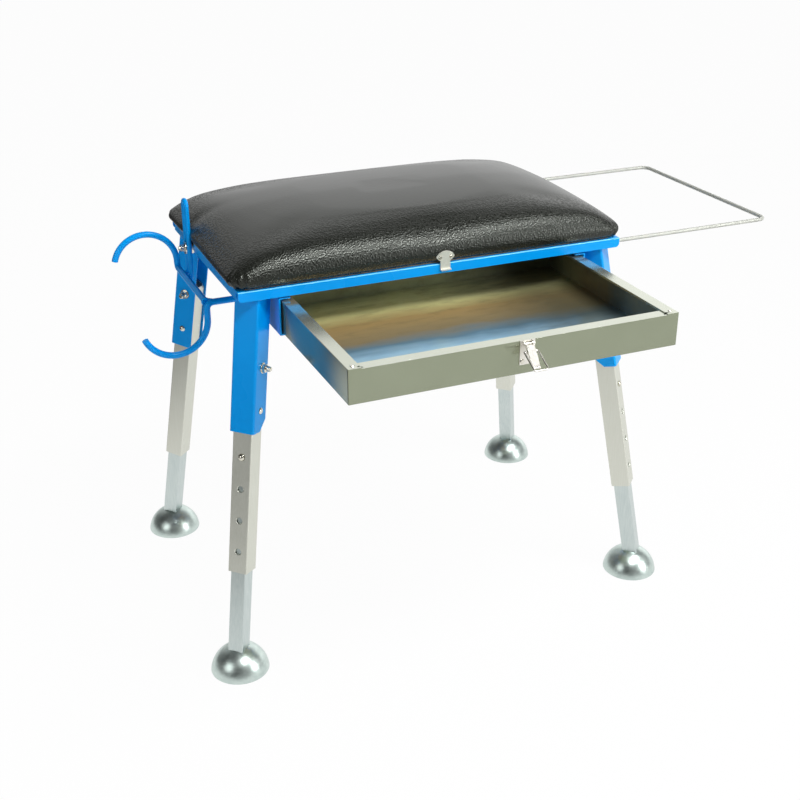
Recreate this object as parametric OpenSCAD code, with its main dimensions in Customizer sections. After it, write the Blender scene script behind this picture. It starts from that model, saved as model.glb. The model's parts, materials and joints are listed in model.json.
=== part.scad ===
// Folding fishing stool: a padded seat on a steel ring, a sheet metal drawer under it,
// four splayed telescopic legs that fold inward, a rod rest and a sliding wire hoop.
// Origin: on the floor under the middle of the seat. X right, Y back, Z up.

/* [Seat ring] */
// Width of the ring, left to right
frame_w = 500; // [470:5:540]
// Depth of the ring, front to back
frame_d = 300; // [290:5:330]
// Height of the top of the ring above the floor
frame_top = 480; // [470:5:500]
// Height of the ring's upright flange
rail_h = 12; // [10:1:14]
// Width of the flat ledge that carries the board
ledge_w = 25; // [22:1:28]
// Sheet thickness of the ring
rail_t = 2; // [1.5:0.5:2]

/* [Seat] */
// Thickness of the plywood board
board_t = 12; // [10:1:15]
// Height of the cushion's crown above the ring
crown_h = 58; // [50:1:70]
// How far the cushion's ends swell past the ring
end_swell = 8; // [0:1:10]
// How far the cushion's front and back swell past the ring
side_swell = 2; // [0:0.5:2]
// Radius of the cushion's upright corners
cushion_corner = 26; // [24:1:40]
// How far the cushion's sides pull in between its corners
side_pull = 2; // [0:0.5:6]

/* [Drawer] */
// Outside width of the drawer
drawer_w = 397; // [380:1:398]
// Outside depth of the drawer
drawer_d = 286; // [240:2:290]
// Outside height of the drawer
drawer_h = 40; // [36:1:41]
// Height of the drawer's bottom above the floor
drawer_z = 422; // [421:0.5:423]
// How far the drawer is pulled out in this pose
drawer_pull = 206; // [0:1:240]
// Width of the folded rims
rim_w = 15; // [10:1:20]
// Sheet thickness of the drawer
tray_t = 1.2; // [1:0.1:1.5]

/* [Legs] */
// Angle of each leg from the vertical
splay = 11; // [8:0.5:12]
// How much steeper the back left leg stands, as the play in its fold lock lets it
lock_play = 1.3; // [0:0.1:2]
// Distance of each leg's axis from both sides of the ring, at the ring's top
leg_inset = 26; // [26:0.5:30]
// Width of the channel across its web
channel_w = 32; // [32:0.5:34]
// Depth of the channel's flanges
channel_d = 30; // [26:1:31]
// Distance from the ring's top to the channel's lower end
channel_end = 176; // [165:1:190]
// Distance from the ring's top to the fold pivot
pivot_at = 98; // [95:1:105]
// Distance from the ring's top to the fold lock
lock_at = 150; // [145:1:155]
// Outside size of the square middle tube
mid_size = 25; // [25:0.5:25]
// Distance from the ring's top to the middle tube's lower end
mid_end = 354; // [348:1:360]
// Outside size of the square inner tube
inner_size = 20; // [20:0.5:20]
// Distance from the ring's top to the first height hole
first_hole = 207; // [204:1:212]
// Distance between height holes
hole_pitch = 40; // [30:1:40]
// Number of height holes
hole_count = 4; // [2:1:4]
// Radius of the domed foot
foot_r = 36.5; // [32:0.5:40]

/* [Wire hoop] */
// Radius of the hoop's wire
wire_r = 2.5; // [2:0.5:2.5]
// Distance of the hoop's side wires from the middle of the seat
hoop_y = 143; // [143:1:143]
// Distance of the hoop's cross wire from the middle of the seat
hoop_x = 484; // [400:1:500]
// Bend radius of the hoop's corners
hoop_bend = 12; // [8:1:20]

/* [Rod rest] */
// Radius of the rest's bent rod
rod_r = 4; // [3:0.5:4]
// Distance of the rest's long rod outside the ring
rest_out = 13; // [13:0.5:14]
// Height of the rest's long rod above the floor
rest_z = 437; // [430:1:440]
// Radius of both hooks
hook_r = 40; // [30:1:45]
// Height of the upright loop's top above the floor
loop_top = 537; // [520:1:545]

/* [Latch] */
// Sideways place of the latch and its catch
latch_x = 6; // [-20:1:20]
// Angle of the lever from the upright face
lever_tilt = 38; // [10:1:60]
// Angle of the wire bail from the upright face
bail_tilt = 64; // [50:1:80]

/* [Hidden] */
$fn = 32;
big = 1000;
blue = [0.05, 0.5, 0.88];
zinc = [0.78, 0.8, 0.8];
aluminium = [0.82, 0.82, 0.8];
steel = [0.72, 0.72, 0.72];

// Corners in order: front left, front right, back right, back left
FL = 0;
FR = 1;
BR = 2;
BL = 3;
side_x = [-1, 1, 1, -1];
side_y = [-1, -1, 1, 1];
turn = [225, 315, 45, 135];
lean = [splay, splay, splay, splay - lock_play];
// The flange that carries the nut and the lock button, along the leg's own y
nut_side = [1, -1, -1, 1];

ledge_z = frame_top - rail_t;
rail_bottom = frame_top - rail_h;
corner_gap = 10;
board_clear = 6;
board_w = frame_w - 2 * board_clear;
board_d = frame_d - 2 * board_clear;
front_y = -frame_d / 2 - drawer_pull;
drawer_top = drawer_z + drawer_h;
guide_t = 2;
guide_in = frame_w / 2 - 50;
guide_bottom = drawer_z - 0.4 - guide_t;
guide_top = rail_bottom - 2;
lip_w = 14;
wire_z = frame_top - rail_h / 2;

// Places one leg's own frame: x outward, z up along the leg, origin at the ring's top
module leg_frame(i) {
    translate([side_x[i] * (frame_w / 2 - leg_inset), side_y[i] * (frame_d / 2 - leg_inset), frame_top])
        rotate([0, -lean[i], turn[i]])
            children();
}

// The ring
module end_rounded_strip(length, height, thick, r) {
    rotate([90, 0, 0])
        translate([0, 0, -thick / 2])
            linear_extrude(thick)
                difference() {
                    translate([-length / 2, 0])
                        square([length, height]);
                    for (s = [-1, 1])
                        translate([s * (length / 2 - r), r])
                            difference() {
                                translate([s * r - r, -2 * r])
                                    square([2 * r, 2 * r]);
                                circle(r);
                            }
                }
}

module long_rail() {
    color(blue) {
        translate([0, -frame_d / 2 + rail_t / 2, rail_bottom])
            end_rounded_strip(frame_w, rail_h, rail_t, 5);
        difference() {
            translate([-frame_w / 2, -frame_d / 2, ledge_z])
                cube([frame_w, ledge_w, rail_t]);
            screw_places_long()
                cylinder(h = big, r = screw_r, center = true);
        }
    }
}

module rail_front() long_rail();
module rail_back() mirror([0, 1, 0]) long_rail();

module side_rail() {
    inner_d = frame_d - 2 * ledge_w;
    flange_d = frame_d - 2 * corner_gap;
    color(blue)
        difference() {
            union() {
                translate([-frame_w / 2, -flange_d / 2, rail_bottom])
                    cube([rail_t, flange_d, rail_h - rail_t]);
                translate([-frame_w / 2, -inner_d / 2, ledge_z])
                    cube([ledge_w, inner_d, rail_t]);
            }
            screw_places_side()
                cylinder(h = big, r = screw_r, center = true);
        }
}

module rail_left() {
    color(blue)
        difference() {
            side_rail();
            rest_bolt_place()
                rotate([0, 90, 0])
                    cylinder(h = 20, r = rest_bolt_r + 0.2, center = true);
        }
}

module rail_right() {
    mirror([1, 0, 0])
        side_rail();
}

// Board and its screws
screw_r = 1.8;
screw_head_r = 3.6;
screw_l = 10;
screw_y = frame_d / 2 - 19;
screw_xs = [-160, -50, 50, 160];
screw_side_x = frame_w / 2 - 12;

module screw_places_long() {
    for (x = screw_xs)
        translate([x, -screw_y, ledge_z])
            children();
}

module screw_places_side() {
    for (y = [-60, 60])
        translate([-screw_side_x, y, ledge_z])
            children();
}

module wood_screw() {
    translate([0, 0, -2])
        cylinder(h = 2, r = screw_head_r);
    cylinder(h = screw_l, r = screw_r);
}

module all_screw_places() {
    screw_places_long() children();
    mirror([0, 1, 0]) screw_places_long() children();
    screw_places_side() children();
    mirror([1, 0, 0]) screw_places_side() children();
}

board_corner = 10;

module rounded_rectangle(w, d, r) {
    translate([-w / 2 + r, -d / 2])
        square([w - 2 * r, d]);
    translate([-w / 2, -d / 2 + r])
        square([w, d - 2 * r]);
    for (sx = [-1, 1], sy = [-1, 1])
        translate([sx * (w / 2 - r), sy * (d / 2 - r)])
            circle(r);
}

module seat_board() {
    color("burlywood")
        difference() {
            translate([0, 0, frame_top])
                linear_extrude(board_t)
                    rounded_rectangle(board_w, board_d, board_corner);
            all_screw_places()
                cylinder(h = screw_l, r = screw_r);
            catch_holes()
                cylinder(h = 30, r = catch_screw_r);
        }
}

module board_screws() {
    color(steel)
        all_screw_places()
            wood_screw();
}

// Cushion: rings of a rounded rectangle that swell to the sides and close in a crown.
// The ends slope gently and the front and back roll over steeply, by the powers below.
belly_h = 12.5;
dome_rings = 11;
end_curve = 4.6;
end_power = 0.5;
side_curve = 1.5;
side_power = 0.2;
edge_curve = 14;
cushion_low = frame_top + 0.3;
pocket_gap = 0.3;
cushion_base_w = frame_w / 2 - 2;
cushion_base_d = frame_d / 2 - 2;
cushion_base_corner = board_corner + 4;
cushion_w = frame_w / 2 + end_swell;
cushion_d = frame_d / 2 + side_swell;
arc_n = 7;
side_n = 9;
loop_dent = 7.5;
cushion_lean = -1.8;

function corner_centre(w, d, r, q) = [
    (q == 0 || q == 3 ? 1 : -1) * (w - r),
    (q == 0 || q == 1 ? 1 : -1) * (d - r)
];
function corner_points(w, d, r, q) = [
    for (k = [0 : arc_n - 1])
        let (a = 90 * q + 90 * k / (arc_n - 1))
            corner_centre(w, d, r, q) + r * [cos(a), sin(a)]
];
// The upright loop of the rod rest presses a shallow dent into the left side
function dent(q, u) = q == 1 ? loop_dent * exp(-pow((u - rest_bolt_y) / 16, 2)) : 0;
// Points between two corners, drawn in by a smooth wave
function side_points(w, d, r, pull, q) = [
    for (k = [1 : side_n])
        let (
            t = k / (side_n + 1),
            along = (q == 0 || q == 2 ? w : d) - r,
            u = along * (1 - 2 * t),
            drawn = pull > 0 ? pull * pow(sin(180 * t), 2) + dent(q, u) : 0,
            v = (q == 0 || q == 2 ? d : w) - drawn
        )
            q == 0 ? [u, v] : q == 1 ? [-v, u] : q == 2 ? [-u, -v] : [v, -u]
];
function outline(w, d, r, pull) = [
    for (q = [0 : 3])
        each concat(corner_points(w, d, r, q), side_points(w, d, r, pull, q))
];
function dome(p) =
    pow(max(1 - pow(abs(p[0]) / cushion_w, end_curve), 0), end_power)
    * pow(max(1 - pow(abs(p[1]) / cushion_d, side_curve), 0), side_power);
// Ring of the upright wall, t from 0 at the base to 1 at the widest place
function wall_ring(t) =
    let (bulge = sin(90 * t))
        [
            for (p = outline(
                cushion_base_w + (cushion_w - cushion_base_w) * bulge,
                cushion_base_d + (cushion_d - cushion_base_d) * bulge,
                cushion_base_corner + (cushion_corner - cushion_base_corner) * bulge,
                side_pull
            ))
                [p[0] + cushion_lean * bulge, p[1], cushion_low + belly_h * t]
        ];
// Ring k of the crown, scaled towards the middle
function dome_ring(k) =
    let (s = sqrt(1 - pow(k / dome_rings, 2)))
        [
            for (p = outline(cushion_w, cushion_d, cushion_corner, side_pull))
                let (
                    q = s * p,
                    edge = sqrt(1 - pow(s, edge_curve))
                )
                    [q[0] + cushion_lean, q[1], cushion_low + belly_h + (crown_h - belly_h) * dome(q) * edge]
        ];
// The pocket that holds the board
function pocket_ring(z) = [
    for (p = outline(board_w / 2 + pocket_gap, board_d / 2 + pocket_gap, board_corner, 0))
        [p[0], p[1], z]
];
module cushion() {
    rings = concat(
        [pocket_ring(frame_top + board_t + pocket_gap), pocket_ring(cushion_low)],
        [for (t = [0, 0.35, 0.7, 1]) wall_ring(t)],
        [for (k = [1 : dome_rings - 1]) dome_ring(k)]
    );
    n = len(rings[0]);
    last = len(rings) - 1;
    points = [
        for (ring = rings)
            each ring,
        [cushion_lean, 0, cushion_low + crown_h]
    ];
    faces = concat(
        [[for (i = [0 : n - 1]) i]],
        [
            for (k = [0 : last - 1], i = [0 : n - 1])
                each [
                    [k * n + i, (k + 1) * n + i, (k + 1) * n + (i + 1) % n],
                    [k * n + i, (k + 1) * n + (i + 1) % n, k * n + (i + 1) % n]
                ]
        ],
        [
            for (i = [0 : n - 1])
                [last * n + i, (last + 1) * n, last * n + (i + 1) % n]
        ]
    );
    color([0.07, 0.07, 0.07])
        polyhedron(points, faces, convexity = 4);
}

// Drawer guides: C sections open to the drawer, with ears welded under the ring
module guide(side) {
    ear_y = 126;
    ear_w = 12;
    length = frame_d - 4;
    color(blue)
        for (s = [side])
            mirror([s > 0 ? 0 : 1, 0, 0]) {
                rotate([90, 0, 0])
                    translate([0, 0, -length / 2])
                        linear_extrude(length)
                            difference() {
                                translate([guide_in - lip_w + guide_t, guide_bottom])
                                    square([lip_w, guide_top - guide_bottom]);
                                translate([guide_in - lip_w, guide_bottom + guide_t])
                                    square([lip_w, guide_top - guide_bottom - 2 * guide_t]);
                            }
                for (y = [-ear_y - ear_w, ear_y])
                    translate([guide_in, y, guide_top - 1])
                        cube([guide_t, ear_w, ledge_z - guide_top + 1]);
            }
}
module guide_left() guide(-1);
module guide_right() guide(1);

// Catch plate on the cushion's front
catch_t = 1.5;
catch_w = 24;
catch_tongue_w = 13;
catch_low = frame_top - 7.5;
catch_screw_r = 1.2;
catch_gap = 0.3;
catch_y = -frame_d / 2 - catch_gap;
catch_head_h = 14;
catch_head_z = frame_top + 9;
catch_screw_x = 7;

module catch_holes() {
    for (s = [-1, 1])
        translate([latch_x + s * catch_screw_x, catch_y - catch_t - 0.5, catch_head_z - 0.5])
            rotate([-90, 0, 0])
                children();
}

// The catch plate has a head like a lens and a tongue with a lip that curls outwards
module catch_plate() {
    arc_r = (pow(catch_w, 2) + pow(catch_head_h, 2)) / 4 / catch_head_h;
    color(steel)
        difference() {
            union() {
                translate([latch_x, catch_y, 0])
                    rotate([90, 0, 0])
                        linear_extrude(catch_t) {
                            intersection() {
                                translate([0, catch_head_z - arc_r + catch_head_h / 2])
                                    circle(arc_r);
                                translate([0, catch_head_z + arc_r - catch_head_h / 2])
                                    circle(arc_r);
                            }
                            translate([-catch_tongue_w / 2, catch_low])
                                square([catch_tongue_w, catch_head_z - catch_low]);
                        }
                translate([latch_x - catch_tongue_w / 2, catch_y - catch_t - 3.5, catch_low])
                    cube([catch_tongue_w, 4, catch_t]);
            }
            catch_holes()
                cylinder(h = 10, r = catch_screw_r);
        }
}

module catch_screws() {
    color(steel)
        for (s = [-1, 1])
            translate([latch_x + s * catch_screw_x, catch_y - catch_t, catch_head_z - 0.5])
                rotate([-90, 0, 0]) {
                    translate([0, 0, -1])
                        cylinder(h = 1, r1 = 1.6, r2 = 2.4);
                    cylinder(h = 15, r = catch_screw_r);
                }
}

// Hoop of round wire, with clips under the ring
clip_xs = [110, 180];
clip_r = 3.9;
hoop_in = 96;
module wire_path(r, inner_x) {
    for (s = [-1, 1])
        translate([inner_x, s * hoop_y, wire_z])
            rotate([0, 90, 0])
                cylinder(h = hoop_x - hoop_bend - inner_x, r = r);
    translate([hoop_x, hoop_y - hoop_bend, wire_z])
        rotate([90, 0, 0])
            cylinder(h = 2 * (hoop_y - hoop_bend), r = r);
    for (s = [-1, 1])
        translate([hoop_x - hoop_bend, s * (hoop_y - hoop_bend), wire_z])
            rotate([0, 0, s > 0 ? 0 : -90])
                rotate_extrude(angle = 90)
                    translate([hoop_bend, 0])
                        circle(r);
}

module wire_hoop() {
    color(zinc)
        wire_path(wire_r, hoop_in);
}

module hoop_collars() {
    color(zinc)
        for (s = [-1, 1])
            translate([hoop_in + 1, s * hoop_y, wire_z])
                rotate([0, 90, 0])
                    difference() {
                        cylinder(h = 8, r = 3.6);
                        translate([0, 0, -1])
                            cylinder(h = 10, r = wire_r);
                    }
}

module hoop_clips() {
    color(zinc)
        for (x = clip_xs, s = [-1, 1])
            translate([x, s * hoop_y, wire_z])
                rotate([0, 90, 0])
                    difference() {
                        union() {
                            cylinder(h = 10, r = clip_r);
                            translate([-(ledge_z - wire_z), s > 0 ? -10 : -clip_r, 0])
                                cube([1.6, 10 + clip_r, 10]);
                            translate([-(ledge_z - wire_z), -clip_r, 0])
                                cube([ledge_z - wire_z, 2 * clip_r, 10]);
                        }
                        translate([0, 0, -1])
                            cylinder(h = 12, r = wire_r + 0.08);
                    }
}

// Rod rest on the left side
rest_x = -frame_w / 2 - rest_out;
rest_front_y = -55;
rest_back_y = 85;
rest_bolt_y = 48;
rod_turn = 8;
rest_bolt_r = 2.5;
rest_bolt_z = wire_z - 0.5;
rest_washer_r = 8;
hex_r = 4.62;
loop_rod_r = 3;
loop_half = 7;
loop_x = rest_x + rod_r + loop_rod_r;

module rest_bolt_place() {
    translate([loop_x, rest_bolt_y, rest_bolt_z])
        children();
}

// Quarter bend of a round rod, from the start of +Y round towards +Z
module rod_bend(radius) {
    rotate([90, 0, 90])
        rotate([0, 0, -90])
            translate([-radius, 0, 0])
                rotate_extrude(angle = 90)
                    translate([radius, 0])
                        circle(rod_r);
}

module rest_rod() {
    color(blue) {
        translate([rest_x, rest_back_y - rod_turn, rest_z])
            rotate([90, 0, 0])
                cylinder(h = rest_back_y - rod_turn - rest_front_y - rod_r, r = rod_r);
        translate([rest_x, rest_back_y - rod_turn, rest_z])
            rod_bend(rod_turn);
        translate([rest_x - hook_r, rest_back_y, rest_z + rod_turn])
            rotate([90, 0, 0])
                rotate_extrude(angle = 166)
                    translate([hook_r, 0])
                        circle(rod_r);
    }
}

module rest_hook() {
    hook_top = rest_z - 21;
    color(blue) {
        translate([-guide_in - guide_t, rest_front_y, rest_z])
            rotate([0, -90, 0])
                cylinder(h = -guide_in - guide_t - rest_x - rod_turn, r = rod_r);
        translate([rest_x + rod_turn, rest_front_y, rest_z])
            rotate([180, 0, -90])
                rod_bend(rod_turn);
        translate([rest_x, rest_front_y, hook_top])
            cylinder(h = rest_z - rod_turn - hook_top, r = rod_r);
        translate([rest_x - hook_r, rest_front_y, hook_top])
            rotate([-90, 0, 0])
                rotate_extrude(angle = 158)
                    translate([hook_r, 0])
                        circle(rod_r);
    }
}

module rest_loop() {
    bend_z = loop_top - loop_rod_r - loop_half;
    low = rest_z - 3;
    color(blue)
        translate([loop_x, rest_bolt_y, 0]) {
            for (s = [-1, 1])
                translate([0, s * loop_half, low])
                    cylinder(h = bend_z - low, r = loop_rod_r);
            translate([0, 0, bend_z])
                rotate([90, 0, 90])
                    rotate_extrude(angle = 180)
                        translate([loop_half, 0])
                            circle(loop_rod_r);
        }
}

module rest_bolt() {
    through = -frame_w / 2 - loop_x + rail_t;
    color(steel)
        rest_bolt_place()
            rotate([0, 90, 0]) {
                translate([0, 0, -12])
                    cylinder(h = 12 + through, r = rest_bolt_r);
                translate([0, 0, through])
                    rotate([0, 0, 30])
                        cylinder(h = 3.5, r = hex_r, $fn = 6);
            }
}

module rest_nut() {
    gap = -frame_w / 2 - loop_x - loop_rod_r;
    color(steel)
        rest_bolt_place()
            rotate([0, 90, 0]) {
                translate([0, 0, -loop_rod_r - 1.6])
                    washer(rest_washer_r, rest_bolt_r + 0.1, 1.6);
                translate([0, 0, -loop_rod_r - 1.7 - 4.8])
                    difference() {
                        cylinder(h = 4.8, r = hex_r, $fn = 6);
                        translate([0, 0, -1])
                            cylinder(h = 7, r = rest_bolt_r);
                    }
                translate([0, 0, loop_rod_r])
                    washer(rest_washer_r, rest_bolt_r + 0.1, gap);
            }
}

module washer(r_out, r_in, h) {
    difference() {
        cylinder(h = h, r = r_out);
        translate([0, 0, -1])
            cylinder(h = h + 2, r = r_in);
    }
}

// Legs
channel_t = 2.5;
web_in = mid_size / 2 + 0.5;
web_out = web_in + channel_t;
flange_in = channel_w / 2 - channel_t;
channel_bend = 3;
chamfer = 14;
pivot_r = 3;
lock_r = 4;
height_r = 3.8;
mid_wall = 2;
inner_wall = 1.5;
inner_top = first_hole - 12;
inner_end = 463.5;
foot_top_z = 32.5;
foot_t = 1.5;

module channel_profile() {
    difference() {
        union() {
            translate([web_out - channel_d, -channel_w / 2])
                square([channel_d - channel_bend, channel_w]);
            translate([web_out - channel_bend - 1, -channel_w / 2 + channel_bend])
                square([channel_bend + 1, channel_w - 2 * channel_bend]);
            for (s = [-1, 1])
                translate([web_out - channel_bend, s * (channel_w / 2 - channel_bend)])
                    circle(channel_bend);
        }
        translate([web_out - channel_d - 1, -flange_in])
            square([channel_d + 1 - channel_t, 2 * flange_in]);
    }
}

module channel(i) {
    color(blue)
        difference() {
            leg_frame(i)
                difference() {
                    translate([0, 0, -channel_end])
                        linear_extrude(channel_end + 10)
                            channel_profile();
                    translate([0, 0, -pivot_at])
                        rotate([90, 0, 0])
                            cylinder(h = 60, r = pivot_r + 0.05, center = true);
                    translate([0, nut_side[i] * channel_w / 2, -lock_at])
                        rotate([90, 0, 0])
                            cylinder(h = 10, r = lock_r + 0.2, center = true);
                    if (side_y[i] < 0)
                        translate([web_out - channel_d, 0, -channel_end])
                            rotate([0, 45, 0])
                                cube([chamfer * sqrt(2), 60, chamfer * sqrt(2)], center = true);
                }
            translate([-big, -big, ledge_z])
                cube(2 * big);
            if (side_x[i] > 0)
                translate([0, side_y[i] * hoop_y, 0])
                    translate([hoop_in, -3.4, rail_bottom + 2.4])
                        cube([big, 6.8, rail_h]);
        }
}
module channel_fl() channel(FL);
module channel_fr() channel(FR);
module channel_br() channel(BR);
module channel_bl() channel(BL);

// Pivot bolts, whose threads stand out of their flanged lock nuts
nut_l = 7;
thread_out = 4;
nut_flange_r = 6.4;
module pivot_bolts() {
    color(steel)
        for (i = [FL : BL])
            leg_frame(i)
                translate([0, 0, -pivot_at])
                    rotate([-90 * nut_side[i], 0, 0]) {
                        translate([0, 0, -channel_w / 2])
                            cylinder(h = channel_w + nut_l + thread_out, r = pivot_r);
                        translate([0, 0, channel_w / 2 + nut_l + thread_out])
                            cylinder(h = 0.8, r1 = pivot_r, r2 = pivot_r - 0.8);
                        translate([0, 0, -channel_w / 2 - 4])
                            cylinder(h = 4, r = 5.5, $fn = 6);
                    }
}

module pivot_nuts() {
    color(steel)
        for (i = [FL : BL])
            leg_frame(i)
                translate([0, 0, -pivot_at])
                    rotate([-90 * nut_side[i], 0, 0])
                        translate([0, 0, channel_w / 2])
                            difference() {
                                union() {
                                    cylinder(h = 1.2, r = nut_flange_r);
                                    cylinder(h = nut_l - 2, r = 5.5, $fn = 6);
                                    translate([0, 0, nut_l - 2])
                                        cylinder(h = 2, r1 = 4.6, r2 = 3.8);
                                }
                                translate([0, 0, -1])
                                    cylinder(h = nut_l + 2, r = pivot_r);
                            }
}

module pivot_washers() {
    color("white")
        for (i = [FL : BL], s = [-1, 1])
            leg_frame(i)
                translate([0, s * (mid_size / 2 + 0.1), -pivot_at])
                    rotate([-90 * s, 0, 0])
                        washer(7, pivot_r + 0.05, 0.8);
}

module tube_profile(size, wall, r) {
    difference() {
        rounded_rectangle(size, size, r);
        translate([-size / 2 + wall, -size / 2 + wall])
            square(size - 2 * wall);
    }
}

// Everything above the pivot that lies outside a circle round it
module pivot_round() {
    translate([0, 0, -pivot_at])
        difference() {
            translate([-mid_size, -mid_size, 0])
                cube(2 * mid_size);
            rotate([90, 0, 0])
                cylinder(h = 3 * mid_size, r = mid_size / 2, center = true);
        }
}

// The holes of the middle tube have small countersinks
sink = 0.7;
module sunk_hole(r, depth) {
    cylinder(h = 6, r = r, center = true);
    translate([0, 0, -depth])
        cylinder(h = depth + 0.01, r1 = r, r2 = r + depth + 0.01);
}

module mid_tube(i) {
    color(aluminium)
        leg_frame(i)
            difference() {
                translate([0, 0, -mid_end])
                    linear_extrude(mid_end - pivot_at + mid_size / 2)
                        tube_profile(mid_size, mid_wall, 1.5);
                pivot_round();
                translate([0, 0, -pivot_at])
                    rotate([90, 0, 0])
                        cylinder(h = 60, r = pivot_r + 0.05, center = true);
                translate([0, nut_side[i] * mid_size / 2, -lock_at])
                    rotate([90, 0, 0])
                        cylinder(h = 6, r = lock_r + 0.08, center = true);
                for (k = [0 : hole_count - 1])
                    translate([mid_size / 2, 0, -first_hole - k * hole_pitch])
                        rotate([0, 90, 0])
                            sunk_hole(height_r + 0.08, sink);
            }
}
module mid_tube_fl() mid_tube(FL);
module mid_tube_fr() mid_tube(FR);
module mid_tube_br() mid_tube(BR);
module mid_tube_bl() mid_tube(BL);

module inner_tube(i) {
    color(zinc)
        leg_frame(i)
            difference() {
                translate([0, 0, -inner_end])
                    linear_extrude(inner_end - inner_top)
                        tube_profile(inner_size, inner_wall, 1.5);
                translate([inner_size / 2, 0, -first_hole])
                    rotate([0, 90, 0])
                        cylinder(h = 6, r = height_r + 0.08, center = true);
            }
}
module inner_tube_fl() inner_tube(FL);
module inner_tube_fr() inner_tube(FR);
module inner_tube_br() inner_tube(BR);
module inner_tube_bl() inner_tube(BL);

// Pressed steel dome with its rim flat on the floor and a slot for the tube
module foot(i) {
    foot_drop = frame_top - foot_top_z;
    reach = foot_drop * tan(lean[i]) / sqrt(2);
    x = side_x[i] * (frame_w / 2 - leg_inset + reach);
    y = side_y[i] * (frame_d / 2 - leg_inset + reach);
    centre_z = foot_top_z - foot_r;
    color(zinc)
        difference() {
            translate([x, y, centre_z])
                sphere(foot_r, $fn = 96);
            translate([x, y, centre_z])
                sphere(foot_r - foot_t, $fn = 96);
            translate([x - foot_r - 1, y - foot_r - 1, -2 * foot_r])
                cube([2 * foot_r + 2, 2 * foot_r + 2, 2 * foot_r]);
            leg_frame(i)
                translate([-inner_size / 2, -inner_size / 2, -inner_end - 2])
                    cube([inner_size, inner_size, 40]);
        }
}
module foot_fl() foot(FL);
module foot_fr() foot(FR);
module foot_br() foot(BR);
module foot_bl() foot(BL);

// Spring clips: a domed pin on a short strip, and the bowed strip behind it
strip_t = 0.8;
strip_w = 9;
module domed_pin(r, h) {
    cylinder(h = h - r / 2, r = r);
    translate([0, 0, h - r / 2])
        intersection() {
            translate([0, 0, -r * 0.75])
                sphere(r * 1.25);
            cylinder(h = r, r = r);
        }
}

// Pin pointing along z from the inner face of a wall at height 0
module clip_pin(r, h, strip_l) {
    translate([0, 0, -0.1 - strip_t])
        domed_pin(r, h + 0.1 + strip_t);
    translate([-strip_l + 6, -strip_w / 2, -0.1 - strip_t])
        cube([strip_l, strip_w, strip_t]);
}

// Bowed strip that lies against the far wall, room apart from the pin's strip
module clip_bow(room, strip_l) {
    bend = room / 2 - 0.2;
    translate([-strip_l + 6, 0, -0.1 - bend])
        rotate([90, 0, 0])
            translate([-1.2, 0, -strip_w / 2])
                linear_extrude(strip_w)
                    difference() {
                        circle(bend);
                        circle(bend - strip_t);
                        translate([0, -big / 2])
                            square(big);
                    }
    translate([-strip_l + 4.8, -strip_w / 2, -0.1 - 2 * bend])
        cube([strip_l, strip_w, strip_t]);
}

module at_height_hole(i) {
    leg_frame(i)
        translate([inner_size / 2 - inner_wall, 0, -first_hole])
            rotate([0, 90, 0])
                rotate([0, 0, 180])
                    children();
}

module at_lock_hole(i) {
    leg_frame(i)
        translate([0, nut_side[i] * (mid_size / 2 - mid_wall), -lock_at])
            rotate([-90 * nut_side[i], 0, 0])
                rotate([0, 0, 90 * nut_side[i]])
                    children();
}

height_strip = 24;
lock_strip = 22;
module height_button(i) {
    color(steel)
        at_height_hole(i)
            clip_pin(height_r, inner_wall + 0.5 + mid_wall + 3, height_strip);
}
module height_button_fl() height_button(FL);
module height_button_fr() height_button(FR);
module height_button_br() height_button(BR);
module height_button_bl() height_button(BL);

module height_spring(i) {
    color(steel)
        at_height_hole(i)
            clip_bow(inner_size - 2 * inner_wall, height_strip);
}
module height_spring_fl() height_spring(FL);
module height_spring_fr() height_spring(FR);
module height_spring_br() height_spring(BR);
module height_spring_bl() height_spring(BL);

module lock_button(i) {
    color(steel)
        at_lock_hole(i)
            clip_pin(lock_r, mid_wall + 1 + channel_t + 2.5, lock_strip);
}
module lock_button_fl() lock_button(FL);
module lock_button_fr() lock_button(FR);
module lock_button_br() lock_button(BR);
module lock_button_bl() lock_button(BL);

module lock_spring(i) {
    color(steel)
        at_lock_hole(i)
            clip_bow(mid_size - 2 * mid_wall, lock_strip);
}
module lock_spring_fl() lock_spring(FL);
module lock_spring_fr() lock_spring(FR);
module lock_spring_br() lock_spring(BR);
module lock_spring_bl() lock_spring(BL);

// Drawer
latch_base_w = 18;
latch_base_h = 28;
latch_base_t = 1.2;
latch_axis_out = 3.6;
latch_axis_z = 458;
base_low = latch_axis_z - latch_base_h + 3;
latch_pin_r = 1.2;
latch_pin_l = 13.4;
latch_ear_at = 5.8;
latch_ear_t = 1.2;
latch_rivet_at = 6;
latch_ear_r = 2.4;
rivet_r = 1.6;

module drawer_tray() {
    back_y = front_y + drawer_d;
    hw = drawer_w / 2;
    top = drawer_top;
    color(zinc)
        difference() {
            translate([-hw, front_y, drawer_z])
                cube([drawer_w, drawer_d, drawer_h]);
            translate([-hw + tray_t, front_y + tray_t, drawer_z + tray_t])
                cube([drawer_w - 2 * tray_t, drawer_d - 2 * tray_t, drawer_h - 3 * tray_t]);
            translate([-hw + rim_w, front_y + rim_w, drawer_z + tray_t])
                cube([drawer_w - 2 * rim_w, drawer_d - 2 * rim_w, drawer_h]);
            for (y = [front_y - 1, back_y - rim_w])
                translate([-hw + rim_w, y, top - tray_t])
                    cube([drawer_w - 2 * rim_w, rim_w + 1, tray_t + 1]);
            rivet_places()
                cylinder(h = 10, r = rivet_r, center = true);
            latch_rivet_places()
                cylinder(h = 20, r = rivet_r, center = true);
        }
}

module rivet_places() {
    for (s = [-1, 1])
        translate([s * (drawer_w / 2 - rim_w / 2), front_y + rim_w / 2, drawer_top])
            children();
}

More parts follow.
